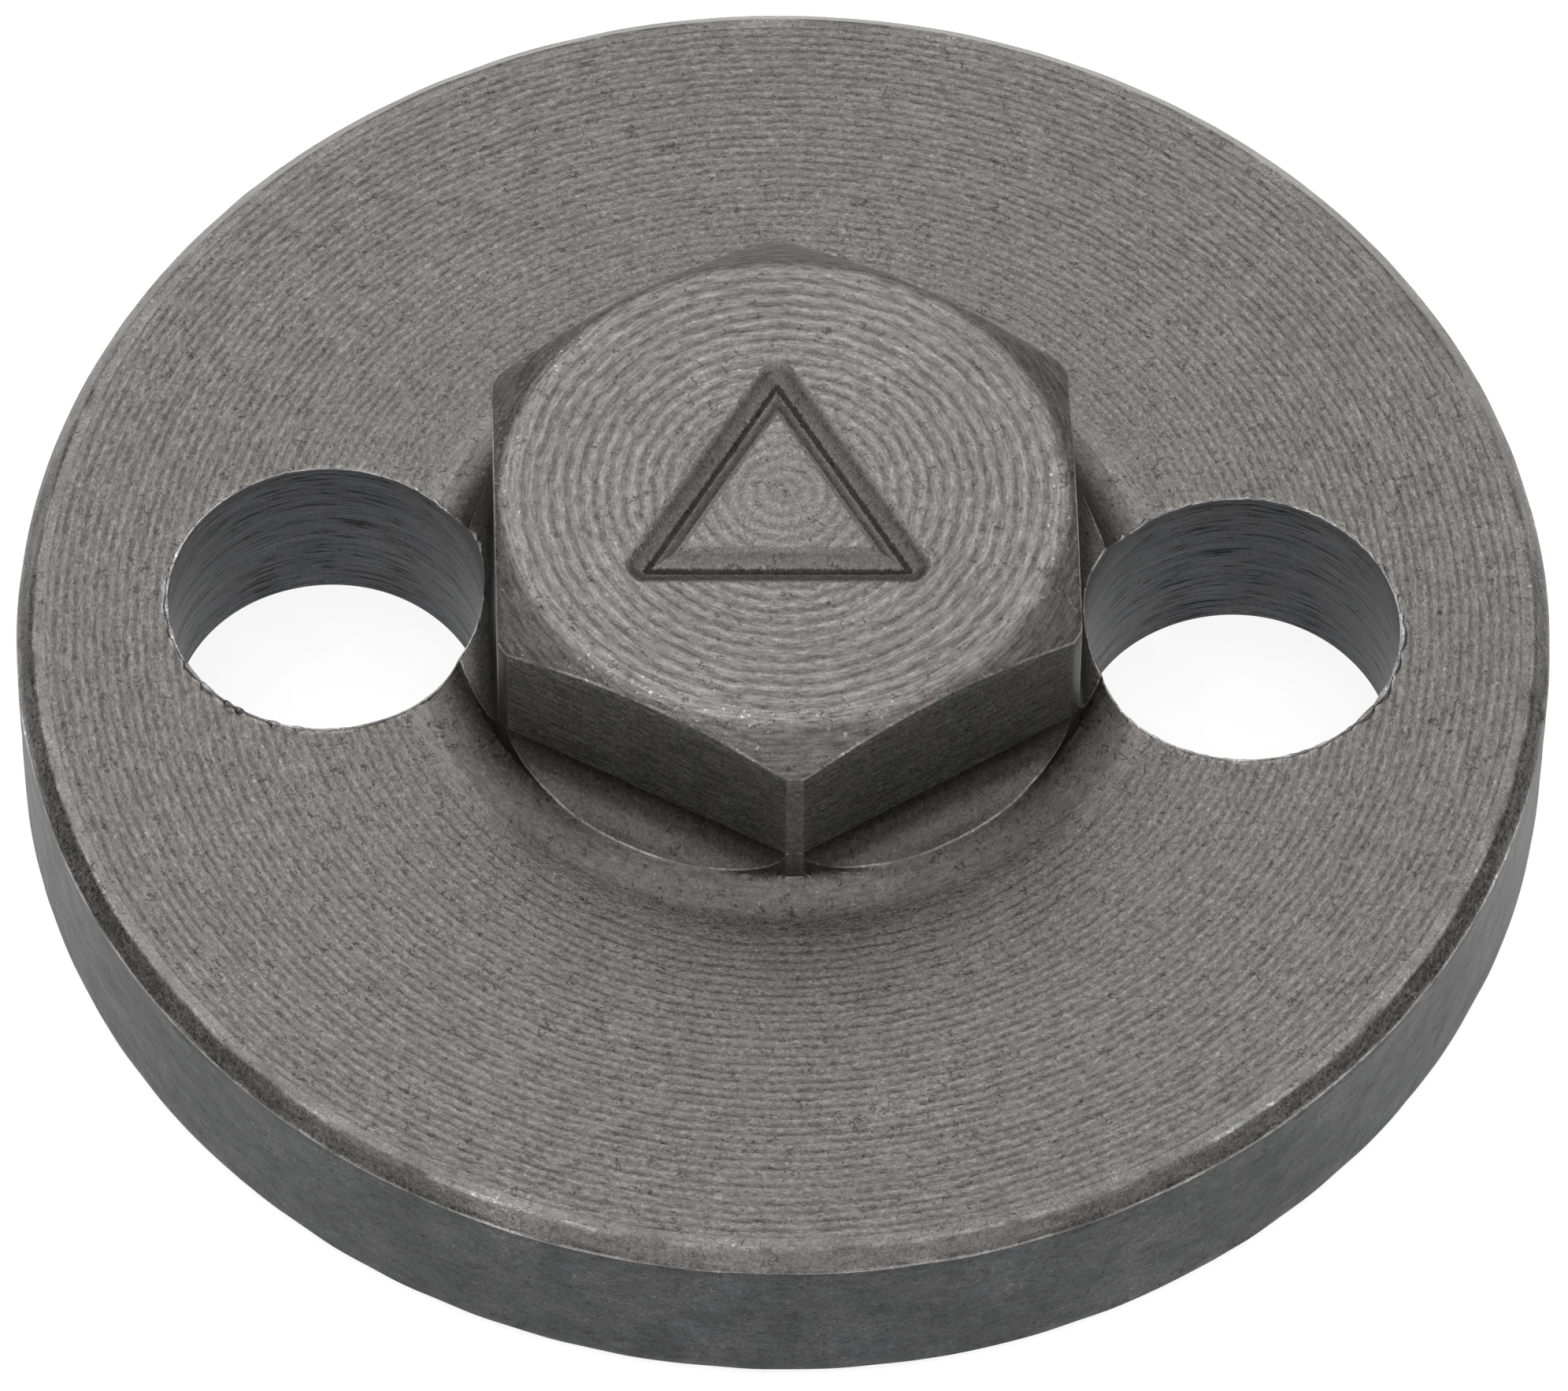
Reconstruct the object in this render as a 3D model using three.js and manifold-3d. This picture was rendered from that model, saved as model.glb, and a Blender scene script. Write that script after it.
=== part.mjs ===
// Flanged hexagon cap nut with two through holes in its flange.
// One turned and milled steel piece. Millimetres, +Z up, origin at the centre of the underside.

import * as THREE from 'three';
import { mergeVertices } from 'three/addons/utils/BufferGeometryUtils.js';
import Module from 'manifold-3d';

const wasm = await Module();
wasm.setup();

// Driving dimensions
const FLANGE_DIAMETER = 32;
const FLANGE_THICKNESS = 4.2;
const FLANGE_CHAMFER = 0.36;
const UNDERSIDE_EDGE_BREAK = 0.15;

const HEX_SIDES = 6;
const HEX_ACROSS_FLATS = 12;
const HEX_HEIGHT = 4.4;
const HEX_TURN_FROM_HOLE_LINE = THREE.MathUtils.degToRad(3.85);
const BOSS_DIAMETER = 13.65;
const CROWN_DIAMETER = 11.65;
const CROWN_CHAMFER_ANGLE = THREE.MathUtils.degToRad(30);
const BOSS_FOOT_DIAMETER = 15.5;
const BOSS_FILLET_RADIUS = 1.28;

const LEDGE_HEIGHT = 0.35;
const LEDGE_FILLET_RADIUS = 0.85;

const HOLE_DIAMETER = 6.6;
const HOLE_SPACING = 19.1;

const THREAD_DIAMETER = 8;
const THREAD_PITCH = 1.25;
const THREAD_MINOR_DIAMETER = 6.65;
const THREAD_FLANK_ANGLE = THREE.MathUtils.degToRad(30);
const THREAD_ROOT_FLAT = THREAD_PITCH / 8;
const THREAD_TOP = 5;
const BORE_DEPTH = 5.6;
const DRILL_POINT_ANGLE = THREE.MathUtils.degToRad(118);
const MOUTH_DIAMETER = 8.4;

const MARK_CORNERS = 3;
const MARK_SIDE = 5.4;
const MARK_STROKE_WIDTH = 0.72;
const MARK_DEPTH = 0.3;
const MARK_CENTRE = new THREE.Vector2(-0.14, -0.3);
const MARK_TURN = THREE.MathUtils.degToRad(2.3);

// Facets, and how far the cutters reach past what they cut
const ROUND_SEGMENTS = 96;
const HOLE_SEGMENTS = 48;
const FILLET_SEGMENTS = 6;
const THREAD_STEPS_PER_TURN = 24;
const CONE_SEGMENTS = 16;
const MERGE_TOLERANCE = 1e-4;
const OVERCUT = 1;
const THREAD_OVERCUT = 0.2;
const MARK_OVERCUT = 0.1;

// Sizes that follow from them
const FLANGE_RADIUS = FLANGE_DIAMETER / 2;
const BOSS_RADIUS = BOSS_DIAMETER / 2;
const BOSS_FOOT_RADIUS = BOSS_FOOT_DIAMETER / 2;
const CROWN_RADIUS = CROWN_DIAMETER / 2;
const TOTAL_HEIGHT = FLANGE_THICKNESS + HEX_HEIGHT;
const CROWN_CHAMFER_DROP = (BOSS_RADIUS - CROWN_RADIUS) * Math.tan(CROWN_CHAMFER_ANGLE);

function solidFrom(geometry) {
  const bare = geometry.clone();
  bare.deleteAttribute('normal');
  bare.deleteAttribute('uv');
  const merged = mergeVertices(bare, MERGE_TOLERANCE);
  const mesh = new wasm.Mesh({
    numProp: 3,
    vertProperties: new Float32Array(merged.attributes.position.array),
    triVerts: new Uint32Array(merged.index.array),
  });
  return new wasm.Manifold(mesh);
}

function geometryFrom(solid) {
  const mesh = solid.getMesh();
  const geometry = new THREE.BufferGeometry();
  geometry.setAttribute('position', new THREE.BufferAttribute(mesh.vertProperties, 3));
  geometry.setIndex(new THREE.BufferAttribute(mesh.triVerts, 1));
  geometry.computeVertexNormals();
  return geometry;
}

// Revolves [radius, height] points, given from the lowest axis point up, about Z.
function turned(points, segments) {
  const profile = points.map(([radius, height]) => new THREE.Vector2(radius, height));
  const geometry = new THREE.LatheGeometry(profile, segments);
  return geometry.rotateX(Math.PI / 2);
}

// The concave arc that rises from the flange's face to the boss, from the face upwards.
function bossFillet() {
  const centreHeight = FLANGE_THICKNESS + BOSS_FILLET_RADIUS;
  const sweep = Math.asin((BOSS_FOOT_RADIUS - BOSS_RADIUS) / BOSS_FILLET_RADIUS);
  const points = [];
  for (let step = 0; step <= FILLET_SEGMENTS; step += 1) {
    const angle = sweep * (step / FILLET_SEGMENTS);
    points.push([
      BOSS_FOOT_RADIUS - BOSS_FILLET_RADIUS * Math.sin(angle),
      centreHeight - BOSS_FILLET_RADIUS * Math.cos(angle),
    ]);
  }
  return points;
}

function turnedBlank() {
  return turned([
    [0, 0],
    [FLANGE_RADIUS - UNDERSIDE_EDGE_BREAK, 0],
    [FLANGE_RADIUS, UNDERSIDE_EDGE_BREAK],
    [FLANGE_RADIUS, FLANGE_THICKNESS - FLANGE_CHAMFER],
    [FLANGE_RADIUS - FLANGE_CHAMFER, FLANGE_THICKNESS],
    ...bossFillet(),
    [BOSS_RADIUS, TOTAL_HEIGHT - CROWN_CHAMFER_DROP],
    [CROWN_RADIUS, TOTAL_HEIGHT],
    [0, TOTAL_HEIGHT],
  ], ROUND_SEGMENTS);
}

// The metal that one pass of the milling cutter removes outside a wrench flat.
// Its outline lies in the plane of the flat's normal and the axis.
function flatCutter(turn) {
  const depth = BOSS_RADIUS - HEX_ACROSS_FLATS / 2 + OVERCUT;
  const floor = FLANGE_THICKNESS + LEDGE_HEIGHT;
  const outline = new THREE.Shape();
  outline.moveTo(0, TOTAL_HEIGHT + OVERCUT);
  outline.lineTo(0, floor + LEDGE_FILLET_RADIUS);
  outline.absarc(
    LEDGE_FILLET_RADIUS, floor + LEDGE_FILLET_RADIUS, LEDGE_FILLET_RADIUS,
    Math.PI, 1.5 * Math.PI, false,
  );
  outline.lineTo(depth, floor);
  outline.lineTo(depth, TOTAL_HEIGHT + OVERCUT);
  outline.closePath();

  const geometry = new THREE.ExtrudeGeometry(outline, {
    depth: BOSS_DIAMETER,
    bevelEnabled: false,
    curveSegments: FILLET_SEGMENTS,
  });
  geometry.translate(HEX_ACROSS_FLATS / 2, 0, -BOSS_RADIUS);
  geometry.rotateX(Math.PI / 2);
  return geometry.rotateZ(turn);
}

function hexCutters() {
  const cutters = [];
  for (let side = 0; side < HEX_SIDES; side += 1) {
    cutters.push(flatCutter(HEX_TURN_FROM_HOLE_LINE + side * ((2 * Math.PI) / HEX_SIDES)));
  }
  return cutters;
}

function flangeHoleCutter(x) {
  const length = TOTAL_HEIGHT + 2 * OVERCUT;
  const geometry = new THREE.CylinderGeometry(
    HOLE_DIAMETER / 2, HOLE_DIAMETER / 2, length, HOLE_SEGMENTS,
  );
  geometry.rotateX(Math.PI / 2);
  return geometry.translate(x, 0, length / 2 - OVERCUT);
}

// The tapping drill's hole with its pointed end, and the countersunk mouth.
function boreCutter() {
  const radius = THREAD_MINOR_DIAMETER / 2;
  const mouthRadius = MOUTH_DIAMETER / 2;
  return turned([
    [0, -OVERCUT],
    [mouthRadius + OVERCUT, -OVERCUT],
    [radius, mouthRadius - radius],
    [radius, BORE_DEPTH],
    [0, BORE_DEPTH + radius / Math.tan(DRILL_POINT_ANGLE / 2)],
  ], HOLE_SEGMENTS);
}

// A right-hand helix whose frames keep a section upright in the plane of the axis.
class ThreadHelix extends THREE.Curve {
  constructor(radius, pitch, bottom, top) {
    super();
    this.radius = radius;
    this.bottom = bottom;
    this.rise = top - bottom;
    this.turns = this.rise / pitch;
  }

  getPoint(t, target = new THREE.Vector3()) {
    const angle = 2 * Math.PI * this.turns * t;
    return target.set(
      this.radius * Math.cos(angle),
      this.radius * Math.sin(angle),
      this.bottom + this.rise * t,
    );
  }

  computeFrenetFrames(steps) {
    const tangents = [];
    const normals = [];
    const binormals = [];
    for (let step = 0; step <= steps; step += 1) {
      const angle = 2 * Math.PI * this.turns * (step / steps);
      tangents.push(new THREE.Vector3(-Math.sin(angle), Math.cos(angle), 0));
      normals.push(new THREE.Vector3(Math.cos(angle), Math.sin(angle), 0));
      binormals.push(new THREE.Vector3(0, 0, -1));
    }
    return { tangents, normals, binormals };
  }
}

// The 60 degree groove of the thread, swept from below the mouth to the last full turn.
function threadCutter() {
  const rootHalfWidth = THREAD_ROOT_FLAT / 2;
  const depth = (THREAD_DIAMETER - THREAD_MINOR_DIAMETER) / 2 + THREAD_OVERCUT;
  const openHalfWidth = rootHalfWidth + depth * Math.tan(THREAD_FLANK_ANGLE);
  const section = new THREE.Shape();
  section.moveTo(0, rootHalfWidth);
  section.lineTo(-depth, openHalfWidth);
  section.lineTo(-depth, -openHalfWidth);
  section.lineTo(0, -rootHalfWidth);
  section.closePath();

  const helix = new ThreadHelix(THREAD_DIAMETER / 2, THREAD_PITCH, -THREAD_PITCH, THREAD_TOP);
  return new THREE.ExtrudeGeometry(section, {
    steps: Math.round(helix.turns * THREAD_STEPS_PER_TURN),
    bevelEnabled: false,
    extrudePath: helix,
  });
}

function triangleCorners() {
  const reach = MARK_SIDE / 2 / Math.sin(Math.PI / MARK_CORNERS);
  const corners = [];
  for (let corner = 0; corner < MARK_CORNERS; corner += 1) {
    const angle = Math.PI / 2 + MARK_TURN + corner * ((2 * Math.PI) / MARK_CORNERS);
    const point = new THREE.Vector2(reach * Math.cos(angle), reach * Math.sin(angle));
    corners.push(point.add(MARK_CENTRE));
  }
  return corners;
}

// One V-shaped stroke of the stamped mark, from start to end on the crown.
function strokeCutter(start, end) {
  const halfWidthAbove = (MARK_STROKE_WIDTH / 2) * (1 + MARK_OVERCUT / MARK_DEPTH);
  const section = new THREE.Shape();
  section.moveTo(0, -MARK_DEPTH);
  section.lineTo(halfWidthAbove, MARK_OVERCUT);
  section.lineTo(-halfWidthAbove, MARK_OVERCUT);
  section.closePath();

  const run = end.clone().sub(start);
  const geometry = new THREE.ExtrudeGeometry(section, { depth: run.length(), bevelEnabled: false });
  geometry.rotateX(Math.PI / 2);
  geometry.rotateZ(run.angle() + Math.PI / 2);
  return geometry.translate(start.x, start.y, TOTAL_HEIGHT);
}

// The rounded end that two strokes share.
function strokeEndCutter(corner) {
  const radius = (MARK_STROKE_WIDTH / 2) * (1 + MARK_OVERCUT / MARK_DEPTH);
  const geometry = turned([
    [0, -MARK_DEPTH],
    [radius, MARK_OVERCUT],
    [0, MARK_OVERCUT],
  ], CONE_SEGMENTS);
  return geometry.translate(corner.x, corner.y, TOTAL_HEIGHT);
}

function triangleMarkCutters() {
  const corners = triangleCorners();
  return corners.flatMap((corner, index) => [
    strokeCutter(corner, corners[(index + 1) % corners.length]),
    strokeEndCutter(corner),
  ]);
}

function nutSolid() {
  const cutters = [
    ...hexCutters(),
    flangeHoleCutter(-HOLE_SPACING / 2),
    flangeHoleCutter(HOLE_SPACING / 2),
    boreCutter(),
    threadCutter(),
    ...triangleMarkCutters(),
  ];
  return cutters.reduce(
    (solid, cutter) => solid.subtract(solidFrom(cutter)),
    solidFrom(turnedBlank()),
  );
}

const machinedSteel = new THREE.MeshStandardMaterial({
  color: 0x75736f,
  roughness: 0.5,
  metalness: 1,
});

const nut = new THREE.Mesh(geometryFrom(nutSolid()), machinedSteel);
nut.name = 'flanged_cap_nut';

const part = new THREE.Group();
part.add(nut);

export default part;
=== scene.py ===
"""Flanged hexagon cap nut: the fine surface, the materials, the light and the camera."""

import math

import bpy
import numpy as np
from mathutils import Matrix, Vector
from mathutils.bvhtree import BVHTree


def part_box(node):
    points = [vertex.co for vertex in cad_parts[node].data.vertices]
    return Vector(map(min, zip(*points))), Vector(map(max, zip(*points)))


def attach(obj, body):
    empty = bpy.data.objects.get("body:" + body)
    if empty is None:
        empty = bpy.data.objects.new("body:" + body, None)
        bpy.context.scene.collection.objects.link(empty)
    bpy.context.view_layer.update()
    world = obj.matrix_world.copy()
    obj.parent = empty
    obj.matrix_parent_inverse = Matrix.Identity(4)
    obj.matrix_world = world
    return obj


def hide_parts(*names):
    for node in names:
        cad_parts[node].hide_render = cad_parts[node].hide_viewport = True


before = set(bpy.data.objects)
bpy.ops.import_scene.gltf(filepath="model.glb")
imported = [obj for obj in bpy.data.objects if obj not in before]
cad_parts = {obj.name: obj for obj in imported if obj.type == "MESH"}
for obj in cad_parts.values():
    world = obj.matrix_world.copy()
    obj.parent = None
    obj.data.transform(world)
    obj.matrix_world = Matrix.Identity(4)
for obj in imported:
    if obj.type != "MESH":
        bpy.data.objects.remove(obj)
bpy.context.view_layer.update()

# ---------------------------------------------------------------- sizes
# Lengths are in millimetres, and a mesh is scaled to metres when it is made.
MM = 0.001
TURN = 2 * math.pi
NODE = "flanged_cap_nut"
BODY = "root"
LOW, HIGH = (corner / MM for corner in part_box(NODE))

FLANGE_RADIUS = (HIGH.x - LOW.x) / 2
CROWN = HIGH.z
FACE = 4.2
FLANGE_CHAMFER = 0.36
ROLLED_DROP = 0.02
UNDERSIDE_EDGE = 0.15

HALF_ACROSS_FLATS = 6.0
HEX_SIDES = 6
SECTOR = TURN / HEX_SIDES
HEX_TURN = math.radians(3.85)
BOSS_RADIUS = 6.825
CROWN_RADIUS = 5.825
CROWN_SLOPE = math.tan(math.radians(30))
BOSS_FOOT = 7.75
BOSS_FILLET = 1.28
BOSS_SWEEP = math.asin((BOSS_FOOT - BOSS_RADIUS) / BOSS_FILLET)
BOSS_FILLET_TOP = FACE + BOSS_FILLET * (1 - math.cos(BOSS_SWEEP))
LEDGE = FACE + 0.35
LEDGE_FILLET = 0.85
FLAT_FOOT = LEDGE + LEDGE_FILLET

HOLE_RADIUS = 3.3
HOLE_OFFSET = 9.55

MINOR_RADIUS = 3.325
MAJOR_RADIUS = 4.0
PITCH = 1.25
THREAD_TOP = 5.0
THREAD_BOTTOM = -1.5 * PITCH
THREAD_LOW_TIP = -1.4 * PITCH
THREAD_FLANK = math.radians(30)
THREAD_HALF_ROOT = PITCH / 16
THREAD_OVERLAP = 0.05
THREAD_FADE = 0.5 * PITCH
THREAD_FADE_TOP = THREAD_TOP - 0.3
BORE_DEPTH = 5.6
DRILL_POINT = math.radians(118)
MOUTH_RADIUS = 4.2

MARK_CENTRE = (-0.14, -0.3)
MARK_TURN = math.radians(2.3)
MARK_CORNERS = 3
MARK_SIDE = 5.4
MARK_HALF_STROKE = 0.36
MARK_DEPTH = 0.3
# A stamped stroke's section: share of the half stroke, and height above the crown.
MARK_SECTION = (
    (1.45, 0.5), (1.45, 0.02), (1.2, -0.006), (1.0, -0.035), (0.85, -0.08), (0.02, -MARK_DEPTH))

# Turning marks: one groove for each turn of the work.
FLANGE_FEED = 0.21
FLANGE_GROOVE = 0.007
FLANGE_GROOVES_FROM = 8.25
FLANGE_GROOVES = 34
CROWN_FEED = 0.30
CROWN_GROOVE = 0.021
CROWN_GROOVES = 18
CROWN_BORDER = (CROWN_GROOVES + 0.2) * CROWN_FEED
# A groove's section: how far across it, and share of its depth.
GROOVE_SECTION = ((0.0, 1.0), (0.24, 0.3), (0.5, 0.0), (0.76, 0.3))
# A groove's depth differs from one turn to the next, and swings to both sides of its mean.
GROOVE_DEPTHS = (0.7, 1.1)
GROOVE_MEAN = 0.65
GROOVE_SWING = 0.45
GROOVE_SHIFT = 0.006

ZONES = (
    "flange_face", "crown_face", "smooth_band", "corner_land", "wrench_flat",
    "milled_ledge", "worn_highlit_edge", "boss_foot", "boss_skirt", "rolled_edge", "rim_chamfer", "rim",
    "underside", "drilled_wall", "thread", "stamped",
)
ZONE = {name: index for index, name in enumerate(ZONES)}
# Each turned face's start, feed, groove depth and height.
TURNED = {
    "flange_face": (FLANGE_GROOVES_FROM, FLANGE_FEED, FLANGE_GROOVE, FACE),
    "crown_face": (0.0, CROWN_FEED, CROWN_GROOVE, CROWN),
}
# The grooves are fainter towards the middle: from this radius, to this one, share at the first.
FAINT = {"flange_face": (8.2, 12.0, 0.65), "crown_face": (0.0, 2.4, 0.45)}

# How far a worn edge's rounding reaches to either side, and how uneven the rim is.
CROWN_WEAR = 0.12
FLAT_WEAR = 0.04
LEDGE_WEAR = 0.025
FLANGE_WEAR = 0.05
RIM_UNEVENNESS = 0.012
# The corner lands: how softly one meets a flat, how far the ledge's rows go down on it, how
# close to it a flat counts as land, and the height of its foot.
CORNER_SOFTNESS = 0.03
LAND_DROP = 0.03
LAND_MARGIN = 0.004
LAND_FOOT = BOSS_FILLET_TOP - 0.05
# The plain skirt's rings, this far out from the boss's foot.
SKIRT_STEPS = (0.15, 0.35)

# Rings and points. The crown's rows are: first groove, groove after the last, points in a ring.
CROWN_RINGS = ((1, 3, 48), (3, 6, 96), (6, 11, 160), (11, CROWN_GROOVES, 240))
FLANGE_POINTS = 360
FLANGE_BENDS = 120
UNDERSIDE_RINGS = ((13, 240), (10, 180), (7, 120), (MOUTH_RADIUS + 0.4, 96))
CORNER_DEGREES = 3
CORNER_STEP = 0.25
FLAT_POINTS = 49
LEDGE_STEPS = 8
FOOT_STEPS = 9
HALVINGS = 40
HOLE_POINTS = 128
BORE_POINTS = 96
THREAD_POINTS = 72
STROKE_END_POINTS = 17
# How far a cutter stands out of the nut.
OVERCUT = 1

# The drill's score marks: their depth, the step between rows, their slant, bends and rows.
SCORE_DEPTH = 0.014
SCORE_STEP = 0.008
SCORE_SLANT = 2
SCORE_BENDS = 9
SCORE_ROWS = 34
SCORE_TOP = FACE + 0.6
SCORE_LEAD = FACE + 0.9

# The burr round a hole: its least size, how much its size grows, where it sits and its points.
BURR_LEAST = 0.035
BURR_GROWTH = 0.065
BURR_FLATNESS = 0.6
BURR_OUTSET = 0.02
BURR_POINTS = 300
BURR_SIDES = 6
BURR_FINE_BENDS = 130
BURR_BROAD_BENDS = 11

SHARP_EDGE = math.radians(38)
rng = np.random.default_rng(12)


# ---------------------------------------------------------------- mesh code
class Shell:
    """A closed surface in the making: rings of points, joined band by band.

    Rings go in order from the top centre, outwards, down and back in to the bottom centre,
    and each ring's points go counter-clockwise seen from above, so faces point outwards."""

    def __init__(self):
        self.points = []
        self.count = 0
        self.faces = []
        self.zones = []

    def ring(self, points, angles=None):
        self.points.append(np.asarray(points, float).reshape(-1, 3))
        first = self.count
        self.count += len(self.points[-1])
        return np.arange(first, self.count), angles

    def round_ring(self, radius, angles, height):
        radius = np.broadcast_to(radius, angles.shape)
        height = np.broadcast_to(height, angles.shape)
        points = np.stack([radius * np.cos(angles), radius * np.sin(angles), height], 1)
        return self.ring(points, angles)

    def add(self, faces, zone):
        self.faces.extend(faces)
        self.zones.extend([ZONE[zone]] * len(faces))

    def rezone(self, count, chosen, zone):
        """Gives the chosen ones of the last faces another zone."""
        first = len(self.zones) - count
        for index in np.flatnonzero(chosen):
            self.zones[first + index] = ZONE[zone]

    def band(self, inner, outer, zone):
        """Faces between a ring and the next one. Either may be a single point."""
        (a, angles_a), (b, angles_b) = inner, outer
        if len(a) == len(b):
            faces = np.stack([a, b, np.roll(b, -1), np.roll(a, -1)], 1).tolist()
        elif len(a) == 1:
            faces = [(a[0], p, q) for p, q in zip(b, np.roll(b, -1))]
        elif len(b) == 1:
            faces = [(p, b[0], q) for p, q in zip(a, np.roll(a, -1))]
        else:
            faces = zipped(a, angles_a, b, angles_b)
        self.add(faces, zone)

    def mesh(self, name):
        mesh = bpy.data.meshes.new(name)
        mesh.from_pydata((np.concatenate(self.points) * MM).tolist(), [], self.faces)
        mesh.polygons.foreach_set("material_index", self.zones)
        mesh.update()
        for zone in ZONES:
            mesh.materials.append(bpy.data.materials.get(zone))
        return mesh


def zipped(a, angles_a, b, angles_b):
    """Triangles between two rings with different numbers of points."""
    far_a, far_b = (np.append(angles, angles[0] + TURN) for angles in (angles_a, angles_b))
    loop_a, loop_b = np.append(a, a[0]), np.append(b, b[0])
    faces, i, j = [], 0, 0
    while i < len(a) or j < len(b):
        if j == len(b) or (i < len(a) and far_a[i + 1] <= far_b[j + 1]):
            faces.append((loop_a[i], loop_b[j], loop_a[i + 1]))
            i += 1
        else:
            faces.append((loop_a[i], loop_b[j], loop_b[j + 1]))
            j += 1
    return faces


def even_angles(count):
    """Evenly spaced directions, from the middle of a wrench flat onwards."""
    return HEX_TURN + np.arange(count) * (TURN / count)


def wander(angles, knots):
    """Smooth random values from -1 to 1 round a ring, with that many bends."""
    values = rng.uniform(-1, 1, knots)
    along = ((angles / TURN) % 1) * knots
    low = np.floor(along).astype(int)
    share = along - low
    share = share * share * (3 - 2 * share)
    return values[low % knots] * (1 - share) + values[(low + 1) % knots] * share


# ---------------------------------------------------------------- the hexagon's profile
def flat_offset(angles):
    """Each direction's angle from the middle of the nearest wrench flat."""
    return (angles - HEX_TURN + SECTOR / 2) % SECTOR - SECTOR / 2


def soft_minimum(a, b, softness):
    return 0.5 * (a + b - np.sqrt((a - b) ** 2 + softness ** 2))


def hexagon_angles():
    """Directions round the boss, close together at the six corners."""
    near = np.radians(np.arange(0, CORNER_DEGREES, CORNER_STEP))
    last = 360 / HEX_SIDES - CORNER_DEGREES
    far = np.radians(np.linspace(CORNER_DEGREES, last, FLAT_POINTS))
    sector = np.concatenate([near, far, SECTOR - np.flip(near[1:])])
    corners = HEX_TURN + SECTOR / 2 + np.arange(HEX_SIDES) * SECTOR
    return (corners[:, None] + sector[None, :]).ravel()


def cutter_height(distance):
    """Height of the milling cutter's lower surface, that far out from a wrench flat."""
    inside = np.clip(LEDGE_FILLET - distance, 0, LEDGE_FILLET)
    return FLAT_FOOT - np.sqrt(LEDGE_FILLET ** 2 - inside ** 2)


def cutter_path(length):
    """Distance from the flat and height, that far along the cutter's surface from its top."""
    arc = np.minimum(length / LEDGE_FILLET, math.pi / 2)
    beyond = length - arc * LEDGE_FILLET
    distance = LEDGE_FILLET * (1 - np.cos(arc)) + beyond
    return distance, LEDGE + LEDGE_FILLET * (1 - np.sin(arc))


def boss_path(length):
    """Radius and height along the turned boss, measured down from the top of its fillet."""
    arc = BOSS_SWEEP - np.clip(length / BOSS_FILLET, 0, BOSS_SWEEP)
    radius = BOSS_FOOT - BOSS_FILLET * np.sin(arc)
    height = FACE + BOSS_FILLET * (1 - np.cos(arc)) - np.minimum(length, 0)
    return radius, height


def ledge_edge(angles):
    """How far down the turned boss the milled ledge ends, by halving."""
    cosine = np.cos(flat_offset(angles))
    top = FLAT_FOOT - LAND_DROP
    high = np.full(angles.shape, BOSS_FILLET_TOP - top)
    low = np.full(angles.shape, BOSS_FILLET * BOSS_SWEEP)
    for _ in range(HALVINGS):
        middle = (high + low) / 2
        radius, height = boss_path(middle)
        cut = np.minimum(cutter_height(np.maximum(radius * cosine - HALF_ACROSS_FLATS, 0)), top)
        above = height > cut
        high = np.where(above, middle, high)
        low = np.where(above, low, middle)
    return (high + low) / 2


def row(radius, height, angles):
    """One (radius, height) pair for each direction."""
    radius = np.broadcast_to(radius, angles.shape)
    return np.stack([radius, np.broadcast_to(height, angles.shape)], 1)


def between(a, b, count):
    """That many rows, evenly spaced between two rows."""
    return [a + (b - a) * (step / (count + 1)) for step in range(1, count + 1)]


def softened(before, corner, after, reach):
    """Three rows that round the corner off over that reach, or over 0.4 of the next face."""
    def stepped(other):
        away = other - corner
        length = np.linalg.norm(away, axis=1, keepdims=True)
        return corner + away * np.minimum(reach / np.maximum(length, 1e-9), 0.4)

    first, last = stepped(before), stepped(after)
    return [first, 0.25 * first + 0.5 * corner + 0.25 * last, last]


def worn_and_highlit(rows, zone):
    """The rounded edge's rows, with the faces between them bright from wear and a painted highlight.
    """
    return [(rows[0], zone), (rows[1], "worn_highlit_edge"), (rows[2], "worn_highlit_edge")]


def ledge_rows(angles, wall, end_radius):
    """Rows from the flat's foot out along the milled ledge, up to the boss's turned surface."""
    cosine = np.cos(flat_offset(angles))
    on_land = HALF_ACROSS_FLATS / cosine > BOSS_RADIUS - LAND_MARGIN
    reach = np.maximum(end_radius * cosine - HALF_ACROSS_FLATS, 0)
    inside = np.clip(1 - reach / LEDGE_FILLET, 0, 1)
    run = LEDGE_FILLET * np.arccos(inside) + np.maximum(reach - LEDGE_FILLET, 0)
    rows = []
    for share in np.linspace(0, 1, LEDGE_STEPS + 1)[1:-1]:
        distance, height = cutter_path(run * share)
        radius = np.where(on_land, wall, (HALF_ACROSS_FLATS + distance) / cosine)
        rows.append(row(radius, np.minimum(height, FLAT_FOOT - LAND_DROP * share), angles))
    return rows


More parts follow.
